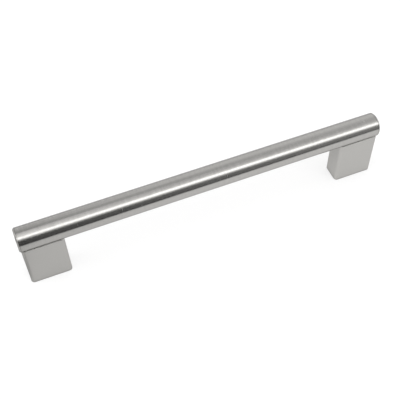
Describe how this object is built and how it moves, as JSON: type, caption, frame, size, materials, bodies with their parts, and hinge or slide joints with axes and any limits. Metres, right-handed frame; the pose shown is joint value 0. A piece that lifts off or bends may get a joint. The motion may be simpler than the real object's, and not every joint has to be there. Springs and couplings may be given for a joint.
{
  "type": "t bar cabinet pull",
  "caption": "Round brushed bar on block posts near its ends, with threaded holes in the feet that take screws through a door or drawer front.",
  "frame": {"origin": "on the plane of the door front, midway between the two threaded holes; also the bottom centre of the part's box", "axes": "+X along the bar, from the left post to the right one; +Z away from the door front; +Y completes the frame, across the bar"},
  "size_m": [0.2176, 0.014, 0.042],
  "materials": {
    "brushed_bar": "satin nickel over steel, brushed round the girth",
    "plug_metal": "satin nickel over zinc alloy",
    "satin_post": "fine satin nickel over die-cast zinc alloy",
    "screw_zinc": "bright zinc-plated steel"
  },
  "bodies": {
    "root": {"bar_tube": "brushed_bar", "end_plug_left": "plug_metal", "end_plug_right": "plug_metal", "post_left": "satin_post", "post_right": "satin_post", "fixing_screw_left": "screw_zinc", "fixing_screw_right": "screw_zinc"}
  },
  "joints": []
}
